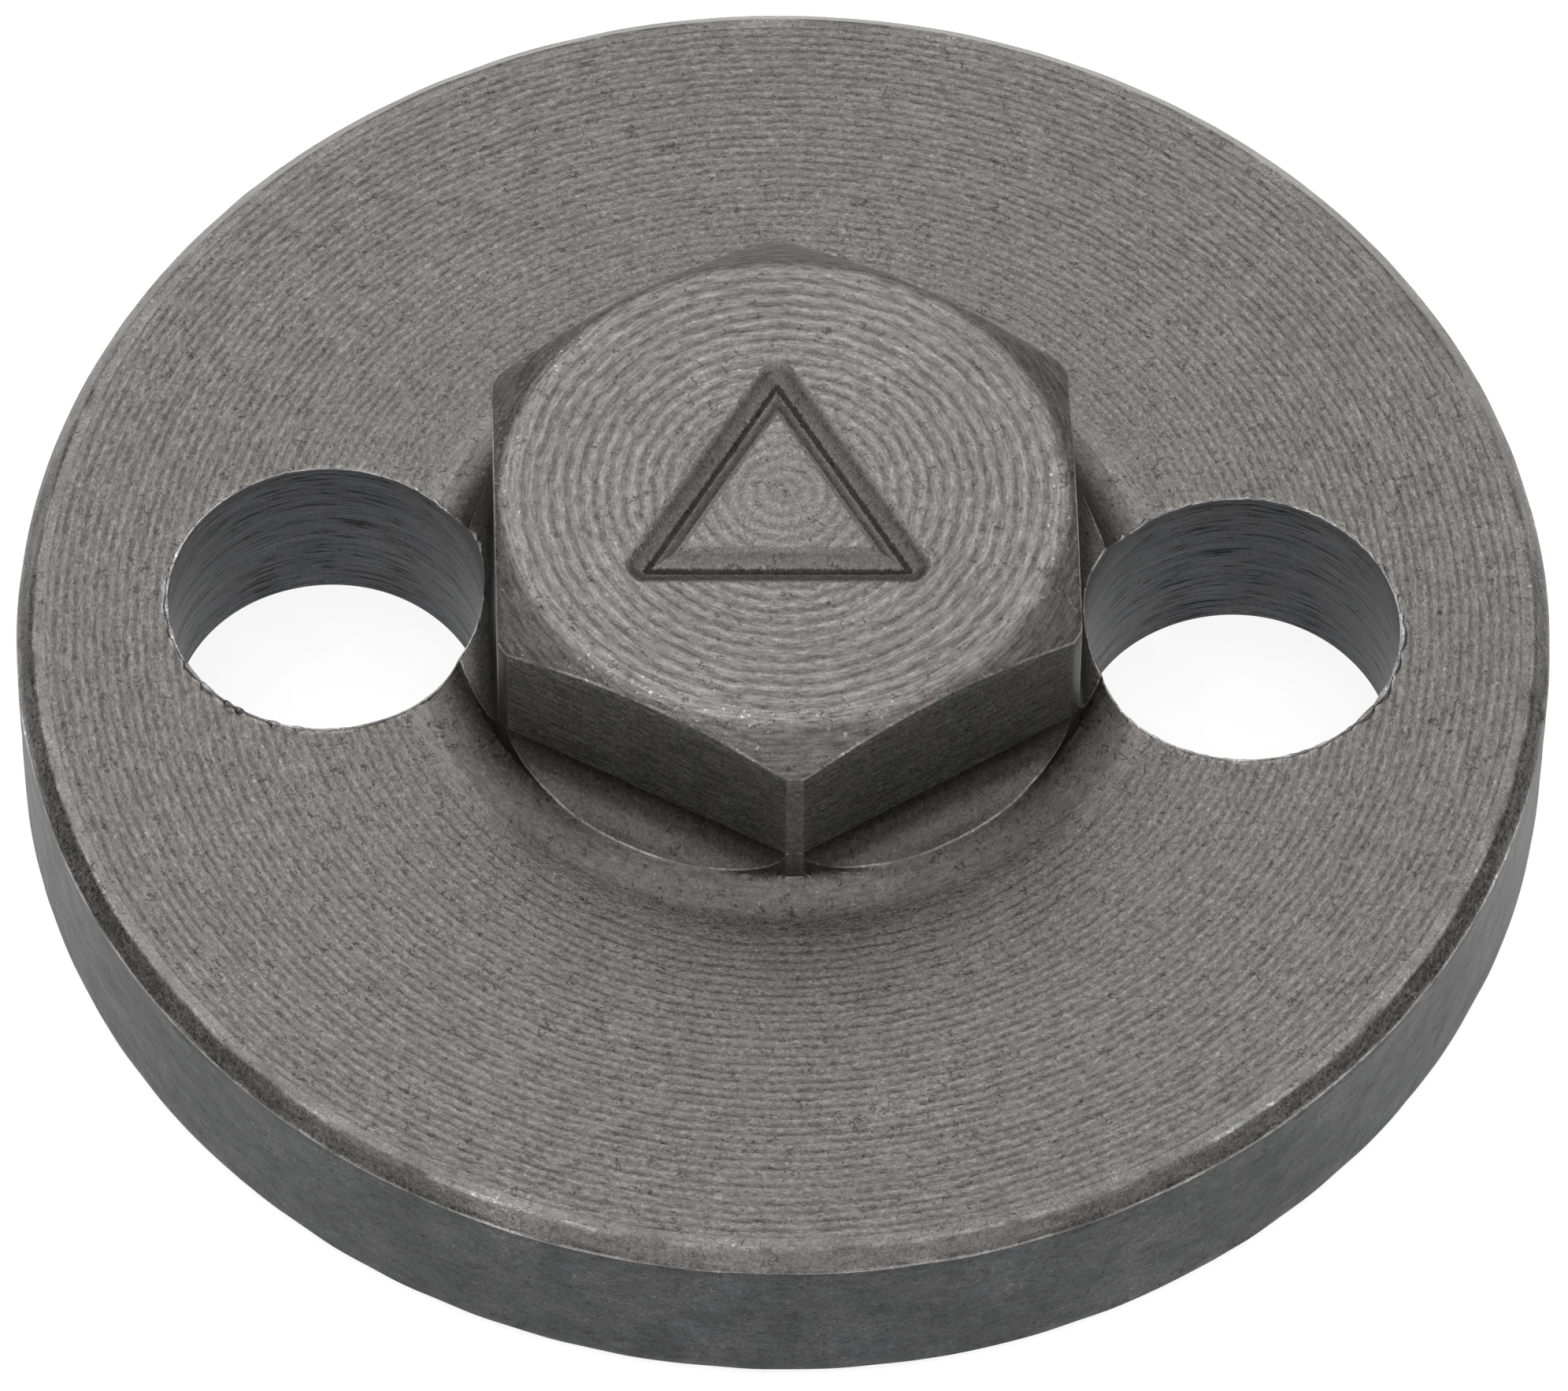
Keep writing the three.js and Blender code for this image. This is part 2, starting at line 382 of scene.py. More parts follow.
def hexagon_rows(angles):
    """Rows of (radius, height) from the crown's border to the boss's foot, each with its zone."""
    flat = HALF_ACROSS_FLATS / np.cos(flat_offset(angles))
    wall = soft_minimum(flat, BOSS_RADIUS, CORNER_SOFTNESS)
    border = row(CROWN_BORDER, CROWN, angles)
    crown_edge = row(CROWN_RADIUS, CROWN, angles)
    wall_top = row(wall, CROWN - (wall - CROWN_RADIUS) * CROWN_SLOPE, angles)
    wall_foot = row(wall, FLAT_FOOT, angles)
    end = ledge_edge(angles)
    end_radius, end_height = boss_path(end)
    edge = row(end_radius, end_height, angles)
    ledge = ledge_rows(angles, wall, end_radius)
    foot = []
    for share in np.linspace(0, 1, FOOT_STEPS + 1)[1:]:
        foot.append(row(*boss_path(end + (BOSS_FILLET * BOSS_SWEEP - end) * share), angles))

    rows = [(border, "crown_face")]
    rows += [(r, "smooth_band") for r in between(border, crown_edge, 1)]
    rows += [(r, "smooth_band") for r in softened(border, crown_edge, wall_top, CROWN_WEAR)]
    rows += [(r, "smooth_band") for r in between(crown_edge, wall_top, 3)[1:]]
    rows += worn_and_highlit(softened(crown_edge, wall_top, wall_foot, FLAT_WEAR), "smooth_band")
    rows += [(r, "wrench_flat") for r in between(wall_top, wall_foot, 5)]
    rows += [(wall_foot, "wrench_flat")]
    rows += [(r, "milled_ledge") for r in ledge]
    rows += worn_and_highlit(softened(ledge[-1], edge, foot[0], LEDGE_WEAR), "milled_ledge")
    rows += [(r, "boss_foot") for r in foot]
    return rows


# ---------------------------------------------------------------- the blank
def grooved(shell, last, first_turn, turns, count, zone, bends):
    """Adds a turned face's rings, four to a groove, with uneven grooves that wander a little."""
    origin, feed, depth, level = TURNED[zone]
    start, end, least = FAINT[zone]
    angles = even_angles(count)
    for turn in range(first_turn, first_turn + turns):
        worked = np.interp(origin + turn * feed, (start, end), (least, 1))
        deepest = depth * worked * rng.uniform(*GROOVE_DEPTHS)
        dip = deepest * (GROOVE_MEAN + GROOVE_SWING * wander(angles, bends))
        shift = GROOVE_SHIFT * wander(angles, bends // 3)
        for step, share in GROOVE_SECTION:
            radius = origin + (turn + step) * feed
            ring = shell.round_ring(radius + shift, angles, level - dip * share)
            shell.band(last, ring, zone)
            last = ring
    return last


def hexagon(shell, last):
    """Adds the smooth band, the flats, the ledges, the corner lands and the boss's fillet."""
    angles = hexagon_angles()
    middles = angles + np.diff(angles, append=angles[0] + TURN) / 2
    land = HALF_ACROSS_FLATS / np.cos(flat_offset(middles)) > BOSS_RADIUS
    for points, zone in hexagon_rows(angles):
        ring = shell.round_ring(points[:, 0], angles, points[:, 1])
        shell.band(last, ring, zone)
        if zone in ("wrench_flat", "milled_ledge"):
            shell.rezone(len(angles), land, "corner_land")
        if zone == "boss_foot":
            shell.rezone(len(angles), land & (points[:, 1] > LAND_FOOT), "corner_land")
        last = ring
    for step in SKIRT_STEPS:
        ring = shell.round_ring(BOSS_FOOT + step, angles, FACE)
        shell.band(last, ring, "boss_skirt")
        last = ring
    return last


def flange_edge(shell, last):
    """Adds the chamfer, the rim and the underside, down to the bottom centre."""
    angles = even_angles(FLANGE_POINTS)
    top = row(FLANGE_RADIUS - FLANGE_CHAMFER, FACE - ROLLED_DROP, angles)
    inner = row(FLANGE_GROOVES_FROM + FLANGE_GROOVES * FLANGE_FEED, FACE, angles)
    shoulder = row(FLANGE_RADIUS, FACE - FLANGE_CHAMFER, angles)
    low = row(FLANGE_RADIUS, UNDERSIDE_EDGE, angles)
    base = row(FLANGE_RADIUS - UNDERSIDE_EDGE, 0, angles)
    centre = row(UNDERSIDE_RINGS[-1][0], 0, angles)

    rows = [(inner, "flange_face")]
    rows += [(r, "rolled_edge") for r in between(inner, top, 1)]
    rows += worn_and_highlit(softened(inner, top, shoulder, FLANGE_WEAR), "rolled_edge")
    rows += [(r, "rim_chamfer") for r in between(top, shoulder, 2)]
    rows += worn_and_highlit(softened(top, shoulder, low, FLAT_WEAR), "rim_chamfer")
    rows += [(r, "rim") for r in between(shoulder, low, 12)]
    rows += [(r, "rim") for r in softened(shoulder, low, base, FLANGE_WEAR)]
    rows += [(r, "rim") for r in softened(low, base, centre, FLANGE_WEAR)]
    for points, zone in rows:
        uneven = RIM_UNEVENNESS * (1 + wander(angles, FLANGE_BENDS))
        if zone in ("flange_face", "rolled_edge"):
            uneven = 0
        ring = shell.round_ring(points[:, 0] - uneven, angles, points[:, 1])
        shell.band(last, ring, zone)
        last = ring
    for radius, count in UNDERSIDE_RINGS:
        ring = shell.round_ring(radius, even_angles(count), 0)
        shell.band(last, ring, "underside")
        last = ring
    shell.band(last, shell.ring([(0, 0, 0)]), "underside")


def nut_blank():
    """The nut without its burrs, holes, bore, thread and stamped mark."""
    shell = Shell()
    last = shell.ring([(0, 0, CROWN - CROWN_GROOVE / 2)])
    for first, after, count in CROWN_RINGS:
        last = grooved(shell, last, first, after - first, count, "crown_face", count // 3)
    last = hexagon(shell, last)
    last = grooved(shell, last, 0, FLANGE_GROOVES, FLANGE_POINTS, "flange_face", FLANGE_BENDS)
    flange_edge(shell, last)
    return shell.mesh("nut_blank")


# ---------------------------------------------------------------- what is cut and added
def drill_mesh(x):
    """A flange hole's cutter. Its wall carries the drill's score marks."""
    angles = even_angles(HOLE_POINTS)
    shell = Shell()
    last = shell.ring([(0, 0, CROWN + OVERCUT)])
    scored = np.linspace(SCORE_TOP, 0, SCORE_ROWS)
    for height in np.concatenate([[CROWN + OVERCUT, SCORE_LEAD], scored, [-OVERCUT]]):
        score = SCORE_DEPTH * wander(angles - height * SCORE_SLANT, SCORE_BENDS)
        score = score + SCORE_STEP * rng.uniform(-1, 1)
        ring = shell.round_ring(HOLE_RADIUS + score, angles, height)
        shell.band(last, ring, "drilled_wall")
        last = ring
    shell.band(last, shell.ring([(0, 0, -OVERCUT)]), "drilled_wall")
    mesh = shell.mesh("drill")
    mesh.transform(Matrix.Translation((x * MM, 0, 0)))
    return mesh


def bore_mesh():
    """The tapping drill's hole with its pointed end and its countersunk mouth."""
    angles = even_angles(BORE_POINTS)
    shell = Shell()
    last = shell.ring([(0, 0, BORE_DEPTH + MINOR_RADIUS / math.tan(DRILL_POINT / 2))])
    rows = [(MINOR_RADIUS, BORE_DEPTH), (MINOR_RADIUS, MOUTH_RADIUS - MINOR_RADIUS),
            (MOUTH_RADIUS, 0), (MOUTH_RADIUS + OVERCUT, -OVERCUT)]
    for radius, height in rows:
        ring = shell.round_ring(radius, angles, height)
        shell.band(last, ring, "thread")
        last = ring
    shell.band(last, shell.ring([(0, 0, -OVERCUT)]), "thread")
    return shell.mesh("bore")


def tap_mesh():
    """The thread's groove, as a right-hand screw whose crests lie inside the drilled hole."""
    inner = MINOR_RADIUS - THREAD_OVERLAP
    depth = MAJOR_RADIUS - inner
    root = THREAD_HALF_ROOT
    mouth = root + depth * math.tan(THREAD_FLANK)
    section = ((-mouth, 0.0), (-root, 1.0), (root, 1.0), (mouth, 0.0))
    angles = np.arange(THREAD_POINTS) * (TURN / THREAD_POINTS)
    shell = Shell()
    rows = []
    for turn in range(int((THREAD_TOP - THREAD_BOTTOM) / PITCH)):
        for offset, share in section:
            height = THREAD_TOP - (turn + 1) * PITCH + offset + angles / TURN * PITCH
            fade = np.clip((THREAD_FADE_TOP - height) / THREAD_FADE, 0, 1)
            rows.append(shell.round_ring(inner + depth * share * fade, angles, height)[0])
    return screw_mesh(shell, np.array(rows), len(section))


def screw_mesh(shell, rows, per_turn):
    """Joins rows that each climb one pitch in a turn, and closes both ends to the axis."""
    for upper, lower in zip(rows[:-1], rows[1:]):
        quads = np.stack([upper[:-1], lower[:-1], lower[1:], upper[1:]], 1)
        shell.add(quads.tolist(), "thread")
    for below in range(per_turn, len(rows) - 1):
        above = below - per_turn
        seam = (rows[below][-1], rows[below + 1][-1], rows[above + 1][0], rows[above][0])
        shell.add([seam], "thread")
    top_loop = list(rows[0]) + [points[-1] for points in rows[1:per_turn + 1]]
    low_loop = list(rows[-1]) + [points[0] for points in rows[-1 - per_turn:-1]]
    top = shell.ring([(0, 0, THREAD_TOP)])[0][0]
    low = shell.ring([(0, 0, THREAD_LOW_TIP)])[0][0]
    shell.add([(top, p, q) for p, q in zip(top_loop, np.roll(top_loop, -1))], "thread")
    shell.add([(p, low, q) for p, q in zip(low_loop, np.roll(low_loop, -1))], "thread")
    return shell.mesh("tap")


def mark_corners():
    """The corners of the stamped triangle."""
    reach = MARK_SIDE / math.sqrt(3)
    corners = []
    for index in range(MARK_CORNERS):
        angle = math.pi / 2 + MARK_TURN + index * TURN / MARK_CORNERS
        corners.append(np.array(MARK_CENTRE) + reach * np.array([math.cos(angle), math.sin(angle)]))
    return corners


def stroke_mesh(start, end):
    """A stamped stroke's cutter: a V with a sharp valley, soft shoulders and round ends."""
    along = (end - start) / np.linalg.norm(end - start)
    heading = math.atan2(along[1], along[0])
    arc = np.linspace(-math.pi / 2, math.pi / 2, STROKE_END_POINTS)
    directions = np.concatenate([arc, arc + math.pi]) + heading
    centres = np.array([end] * len(arc) + [start] * len(arc))
    outward = np.stack([np.cos(directions), np.sin(directions)], 1)
    middle = (start + end) / 2
    shell = Shell()
    last = shell.ring([(*middle, CROWN + MARK_SECTION[0][1])])
    for width, height in MARK_SECTION:
        flat = centres + outward * width * MARK_HALF_STROKE
        ring = shell.ring(np.column_stack([flat, np.full(len(flat), CROWN + height)]))
        shell.band(last, ring, "stamped")
        last = ring
    shell.band(last, shell.ring([(*middle, CROWN - MARK_DEPTH)]), "stamped")
    return shell.mesh("stroke")


def burr_mesh(surface, x):
    """The uneven lip that the drill left round a flange hole's upper edge."""
    angles = np.arange(BURR_POINTS) * (TURN / BURR_POINTS)
    growth = BURR_GROWTH * np.clip(wander(angles, BURR_FINE_BENDS), 0, 1)
    size = BURR_LEAST + growth * (1 + wander(angles, BURR_BROAD_BENDS))
    heights = []
    for angle in angles:
        across, along = HOLE_RADIUS * math.cos(angle), HOLE_RADIUS * math.sin(angle)
        spot = Vector((x + across, along, CROWN + OVERCUT))
        hit = surface.ray_cast(spot * MM, Vector((0, 0, -1)))[0]
        heights.append(hit.z / MM)
    heights = np.array(heights)
    shell = Shell()
    loops = []
    for side in np.arange(BURR_SIDES) * (TURN / BURR_SIDES):
        radius = HOLE_RADIUS + BURR_OUTSET + size * math.cos(side)
        level = heights + BURR_FLATNESS * size * math.sin(side)
        points = np.stack([x + radius * np.cos(angles), radius * np.sin(angles), level], 1)
        loops.append(shell.ring(points))
    for first, second in zip(loops, loops[1:] + loops[:1]):
        shell.band(second, first, "worn_highlit_edge")
    return shell.mesh("burr")


def combined(blank, steps):
    """The blank after each (operation, mesh) step."""
    piece = bpy.data.objects.new("nut_surface", blank)
    bpy.context.scene.collection.objects.link(piece)
    tools = []
    for operation, mesh in steps:
        tool = bpy.data.objects.new(mesh.name, mesh)
        bpy.context.scene.collection.objects.link(tool)
        modifier = piece.modifiers.new(mesh.name, "BOOLEAN")
        modifier.solver = "MANIFOLD"
        modifier.operation = operation
        modifier.object = tool
        tools.append(tool)
    bpy.context.view_layer.update()
    graph = bpy.context.evaluated_depsgraph_get()
    mesh = bpy.data.meshes.new_from_object(piece.evaluated_get(graph))
    piece.modifiers.clear()
    piece.data = mesh
    for tool in tools:
        bpy.data.objects.remove(tool)
    return piece


def make_nut():
    """The whole nut, as one closed mesh."""
    blank = nut_blank()
    surface = BVHTree.FromPolygons(
        [v.co for v in blank.vertices], [p.vertices for p in blank.polygons])
    corners = mark_corners()
    steps = [("UNION", burr_mesh(surface, x)) for x in (-HOLE_OFFSET, HOLE_OFFSET)]
    steps += [("DIFFERENCE", drill_mesh(x)) for x in (-HOLE_OFFSET, HOLE_OFFSET)]
    steps += [("DIFFERENCE", bore_mesh()), ("DIFFERENCE", tap_mesh())]
    for start, end in zip(corners, corners[1:] + corners[:1]):
        steps.append(("DIFFERENCE", stroke_mesh(start, end)))
    nut = combined(blank, steps)
    nut.data.shade_smooth()
    nut.data.set_sharp_from_angle(angle=SHARP_EDGE)
    return nut


# ---------------------------------------------------------------- shader nodes
def add(tree, kind, **inputs):
    """A node with its inputs set by name, from a value or from another node's output."""
    node = tree.nodes.new("ShaderNode" + kind)
    for name, value in inputs.items():
        key = int(name[1:]) if name[0] == "_" else name.replace("_", " ")
        if isinstance(value, bpy.types.NodeSocket):
            tree.links.new(value, node.inputs[key])
        else:
            node.inputs[key].default_value = value
    return node


def maths(tree, operation, *values):
    node = add(tree, "Math", **{f"_{index}": value for index, value in enumerate(values)})
    node.operation = operation
    return node.outputs[0]


def vector_maths(tree, operation, *values):
    node = add(tree, "VectorMath", **{f"_{index}": value for index, value in enumerate(values)})
    node.operation = operation
    return node.outputs[1 if operation == "LENGTH" else 0]


def combine(tree, x, y, z):
    return add(tree, "CombineXYZ", X=x, Y=y, Z=z).outputs[0]


def ranged(tree, value, low, high, to_low, to_high):
    """The range from low to high moved to another range, and held at its ends."""
    node = add(
        tree, "MapRange", Value=value, From_Min=low, From_Max=high, To_Min=to_low, To_Max=to_high)
    return node.outputs[0]


def spread(tree, noisy, to_low, to_high):
    """A noise, nearly all of which lies between 0.3 and 0.7, moved to another range."""
    return ranged(tree, noisy, 0.3, 0.7, to_low, to_high)


def varied(tree, noisy, tone):
    """A noise turned into a factor from 1 - tone to 1 + tone."""
    return spread(tree, noisy, 1 - tone, 1 + tone)


def noise(tree, vector, scale, detail=2.0, roughness=0.5, distortion=0.0):
    node = add(tree, "TexNoise", Vector=vector, Scale=scale, Detail=detail, Roughness=roughness,
               Distortion=distortion)
    return node.outputs["Fac"]


def place(tree, centre):
    """Where a point lies in millimetres: its position, its height, and its radius and direction
    round the upright axes through x = centre and x = -centre."""
    position = vector_maths(tree, "SCALE", add(tree, "TexCoord").outputs["Object"])
    position.node.inputs["Scale"].default_value = 1 / MM
    parts = add(tree, "SeparateXYZ", Vector=position)
    across = parts.outputs[0]
    if centre:
        across = maths(tree, "SUBTRACT", maths(tree, "ABSOLUTE", across), centre)
    flat = combine(tree, across, parts.outputs[1], 0.0)
    direction = add(tree, "SeparateXYZ", Vector=vector_maths(tree, "NORMALIZE", flat))
    return {
        "position": position,
        "height": parts.outputs[2],
        "radius": vector_maths(tree, "LENGTH", flat),
        "east": direction.outputs[0],
        "north": direction.outputs[1],
    }


def lay_vector(tree, spot, across, fine, long):
    """Coordinates that stretch a noise round the axis: fine across the lay, long along it."""
    return combine(
        tree,
        maths(tree, "MULTIPLY", across, fine),
        maths(tree, "MULTIPLY", spot["east"], long),
        maths(tree, "MULTIPLY", spot["north"], long),
    )


# ---------------------------------------------------------------- the steel
# The plain look, which each zone's steel changes. A tone is a share of the zone's brightness.
PLAIN = {
    "roughness": 0.5,
    # The lay: its axis is x = centre and x = -centre. It is fine across the radius or the height,
    # and long the other way. Higher numbers are finer and shorter.
    "centre": 0.0, "across": "radius", "fine": 9.0, "long": 30.0,
    "streak_relief": 0.006, "streak_tone": 0.15, "grain_tone": 0.5, "cloud_tone": 0.1,
    # How dark the painted shade in a turning mark's groove is, how bright the painted highlight on
    # its ridge, and how dark the drill's scores are.
    "grooves": 0.0, "ridges": 0.0, "score": 0.0,
    # A painted glint's brightness, and the level from which glints show: a higher one makes them
    # rarer.
    "sparkle": 1.5, "sparkle_from": 0.95,
    # The level from which dark and light marks show: a higher one makes them rarer.
    "rarity": 0.8,
    # Painted shade from one height down to another, and darker from one radius to another, down to a
    # share.
    "hollow": None, "fade": None,
    # How bright the painted highlight on the flange holes' lips is, the light that the painted shade
    # leaves at the boss's sides, and the painted light at the fillet's top.
    "lips": 0.0, "sides": 1.0, "fillet_top": 1.0,
    "blotch": 0.0, "dent_relief": 0.0,
}
GRAIN_RELIEF = 0.008
MARK_RELIEF = 0.006
GROOVE_RELIEF = 0.008
GROUND_TONE = 1.06
MARK_TONES = (0.6, 1.4)
PAINTED_HOLLOW_TONE = 0.22
ROUGHNESS_SPREAD = 0.08
LIP = (HOLE_RADIUS + 0.07, HOLE_RADIUS + 0.13)
RUST = 0.18
RUST_TINT = (0.95, 0.7, 0.64)

# How a groove's dark line of painted shade looks: broken pieces in one radian, where across the
# groove it starts and is full, and how much of it stays in the gaps.
GROOVE_LINE = {"flange_face": (24.0, 0.4, 0.9, 0.15), "crown_face": (11.0, 0.5, 0.92, 0.25)}


def turning_marks(tree, spot, zone):
    """How far into a groove's bottom and onto its ridge, from 0 to 1, with broken lines."""
    origin, feed, _, _ = TURNED[zone]
    start, end, least = FAINT[zone]
    pieces, none, full, gap = GROOVE_LINE[zone]
    bends = noise(tree, lay_vector(tree, spot, spot["radius"], 1.2, 0.65 * pieces), 1.0)
    drift = spread(tree, bends, -0.12, 0.12)
    torn = spread(tree, noise(tree, spot["position"], 9.0, roughness=0.6), -0.06, 0.06)
    turns = maths(tree, "DIVIDE", maths(tree, "SUBTRACT", spot["radius"], origin), feed)
    share = maths(tree, "FRACT", maths(tree, "ADD", maths(tree, "ADD", turns, drift), torn))
    line = maths(tree, "ABSOLUTE", maths(tree, "SUBTRACT", maths(tree, "MULTIPLY", share, 2.0), 1.0))
    strength = noise(tree, lay_vector(tree, spot, spot["radius"], 5.0, pieces), 1.0, roughness=0.6)
    valley = maths(tree, "MULTIPLY", ranged(tree, line, none, full, 0.0, 1.0),
                   ranged(tree, strength, 0.38, 0.6, gap, 1.0))
    ridge = maths(tree, "MULTIPLY", ranged(tree, line, 0.15, 0.5, 1.0, 0.0),
                  ranged(tree, strength, 0.4, 0.62, 1.0, 0.0))
    worked = ranged(tree, spot["radius"], start, end, least, 1.0)
    return maths(tree, "MULTIPLY", valley, worked), maths(tree, "MULTIPLY", ridge, worked)


def small_marks(tree, spot, clouds, rarity):
    """Small ragged marks in loose groups: dark ones, and light ones elsewhere."""
    specks = noise(tree, spot["position"], 7.0, roughness=0.6, distortion=1.5)
    groups = noise(tree, spot["position"], 3.4, detail=1.0)
    groups = maths(tree, "ADD", groups, maths(tree, "MULTIPLY", clouds, 0.3))
    marks = []
    for none, full, first, last in (
            (0.42, 0.36, rarity - 0.06, rarity), (0.6, 0.66, 1.3 - rarity, 1.26 - rarity)):
        speck = ranged(tree, specks, none, full, 0.0, 1.0)
        marks.append(maths(tree, "MULTIPLY", speck, ranged(tree, groups, first, last, 0.0, 1.0)))
    return marks


def textures(tree, spot, look):
    """The noises that every zone's steel is made of."""
    lay = lay_vector(tree, spot, spot[look["across"]], look["fine"], look["long"])
    clouds = noise(tree, spot["position"], 0.45, detail=4.0, roughness=0.6)
    dark_marks, light_marks = small_marks(tree, spot, clouds, look["rarity"])
    return {
        "streaks": noise(tree, lay, 1.0, detail=3.0, roughness=0.6),
        "grains": noise(tree, spot["position"], 11.0, detail=3.0, roughness=0.7, distortion=1.2),
        "clouds": clouds,
        "flecks": noise(tree, spot["position"], 10.0, detail=1.0),
        "dark_marks": dark_marks,
        "light_marks": light_marks,
    }


def common_light(tree, texture, look):
    """The brightness factors that every zone has."""
    flecks = maths(tree, "MULTIPLY", texture["clouds"], 0.5)
    flecks = maths(tree, "ADD", texture["flecks"], flecks)
    dark, light = MARK_TONES
    start = look["sparkle_from"]
    return [
        varied(tree, texture["clouds"], look["cloud_tone"]),
        varied(tree, texture["streaks"], look["streak_tone"]),
        varied(tree, texture["grains"], look["grain_tone"]),
        ranged(tree, texture["dark_marks"], 0.0, 1.0, 1.0, dark),
        ranged(tree, texture["light_marks"], 0.0, 1.0, 1.0, light),
        # Painted glints: bright flecks scattered over the steel.
        ranged(tree, flecks, start, start + 0.08, 1.0, look["sparkle"]),
    ]


def painted_groove_light(tree, valley, ridge, look):
    """Painted shade in the grooves and painted highlights on the ridges, with the ground between
    them a little brighter.
    """
    return [
        ranged(tree, valley, 0.0, 1.0, GROUND_TONE, GROUND_TONE - look["grooves"]),
        ranged(tree, ridge, 0.0, 1.0, 1.0, 1 + look["ridges"]),
    ]


def painted_hollow_shade(tree, spot, texture, look):
    """Painted shade, dark low down, in a stamped stroke or at a corner land's foot."""
    top, bottom = look["hollow"]
    uneven = maths(tree, "ADD", spot["height"], spread(tree, texture["grains"], -0.015, 0.015))
    return ranged(tree, uneven, bottom, top, PAINTED_HOLLOW_TONE, 1.0)


def painted_lip_highlight(tree, spot, look):
    """A painted highlight: a bright, uneven line round each flange hole."""
    wavering = spread(tree, noise(tree, spot["position"], 3.5), -0.07, 0.07)
    uneven = maths(tree, "ADD", place(tree, HOLE_OFFSET)["radius"], wavering)
    return ranged(tree, uneven, *LIP, 1 + look["lips"], 1.0)


def painted_side_shade(tree, spot, look):
    """Round the boss's foot, painted shade: dark at the left and the right, less so behind, and
    bright in front.
    """
    front = maths(tree, "MULTIPLY", spot["north"], -1.0)
    back = ranged(tree, spot["north"], 0.1, 0.5, 0.0, 0.32)
    shade = ranged(tree, spot["radius"], BOSS_RADIUS, BOSS_FOOT + 0.5, look["sides"], 1.0)
    shade = maths(tree, "MINIMUM", maths(tree, "ADD", shade, back), 1.0)
    return ranged(tree, front, 0.6, 0.97, shade, 1.0)


def zone_light(tree, spot, texture, look):
    """The brightness factors that only some zones have."""
    factors = []
    radius = spot["radius"]
    if look["score"]:
        factors.append(ranged(tree, texture["streaks"], 0.39, 0.43, 1 - look["score"], 1.0))
    if look["hollow"]:
        factors.append(painted_hollow_shade(tree, spot, texture, look))
    if look["fade"]:
        start, end, share = look["fade"]
        factors.append(ranged(tree, radius, start, end, 1.0, share))
    if look["lips"]:
        factors.append(painted_lip_highlight(tree, spot, look))
    # Painted light: brighter at the top of the boss's fillet, next to the boss.
    if look["fillet_top"] != 1:
        factors.append(
            ranged(tree, radius, BOSS_RADIUS, BOSS_RADIUS + 0.1, look["fillet_top"], 1.0))
    if look["sides"] != 1:
        factors.append(painted_side_shade(tree, spot, look))
    if look["blotch"]:
        patches = noise(tree, spot["position"], 0.9, detail=3.0, roughness=0.55, distortion=0.8)
        factors.append(ranged(tree, patches, 0.4, 0.6, 1 - look["blotch"], 1 + look["blotch"]))
    return factors


def fine_relief(tree, spot, texture, look):
    """The height of the fine surface, in millimetres, without the turning marks."""
    relief = maths(tree, "MULTIPLY", texture["streaks"], look["streak_relief"])
    grains = maths(tree, "MULTIPLY", texture["grains"], GRAIN_RELIEF)
    marks = maths(tree, "MULTIPLY", texture["dark_marks"], MARK_RELIEF)
    relief = maths(tree, "SUBTRACT", maths(tree, "ADD", relief, grains), marks)
    if look["dent_relief"]:
        dents = noise(tree, spot["position"], 1.3, detail=3.0, roughness=0.6)
        relief = maths(tree, "ADD", relief, maths(tree, "MULTIPLY", dents, look["dent_relief"]))
    return relief


def steel_colour(tree, spot, tone, factors):
    """The tone times every brightness factor, with faint brown patches."""
    light = factors[0]
    for factor in factors[1:]:
        light = maths(tree, "MULTIPLY", light, factor)
    colour = vector_maths(tree, "SCALE", tuple(tone))
    tree.links.new(light, colour.node.inputs["Scale"])
    patches = noise(tree, spot["position"], 0.9, detail=4.0, roughness=0.65)
    mixed = add(tree, "Mix")
    mixed.data_type = "RGBA"
    tree.links.new(ranged(tree, patches, 0.5, 0.7, 0.0, RUST), mixed.inputs["Factor"])
    tree.links.new(colour, mixed.inputs[6])
    brown = [share * level for share, level in zip(tone, RUST_TINT)]
    mixed.inputs[7].default_value = (*brown, 1)
    return mixed.outputs[2]


def steel(name, tone, **changes):
    """Bare steel with a machined lay, fine grain, clouds, faint rust, marks and painted glints."""
    look = {**PLAIN, **changes}
    material = bpy.data.materials.new(name)
    material.use_nodes = True
    tree = material.node_tree
    spot = place(tree, look["centre"])
    texture = textures(tree, spot, look)
    factors = common_light(tree, texture, look)
    relief = fine_relief(tree, spot, texture, look)
    if look["grooves"]:
        valley, ridge = turning_marks(tree, spot, name)
        factors += painted_groove_light(tree, valley, ridge, look)
        relief = maths(tree, "SUBTRACT", relief, maths(tree, "MULTIPLY", valley, GROOVE_RELIEF))
    factors += zone_light(tree, spot, texture, look)

    shader = tree.nodes["Principled BSDF"]
    shader.inputs["Metallic"].default_value = 1.0
    tree.links.new(steel_colour(tree, spot, tone, factors), shader.inputs["Base Color"])
    least, most = look["roughness"] - ROUGHNESS_SPREAD, look["roughness"] + ROUGHNESS_SPREAD
    tree.links.new(spread(tree, texture["grains"], least, most), shader.inputs["Roughness"])
    bump = add(tree, "Bump", Strength=1.0, Distance=MM, Height=relief)
    tree.links.new(bump.outputs[0], shader.inputs["Normal"])


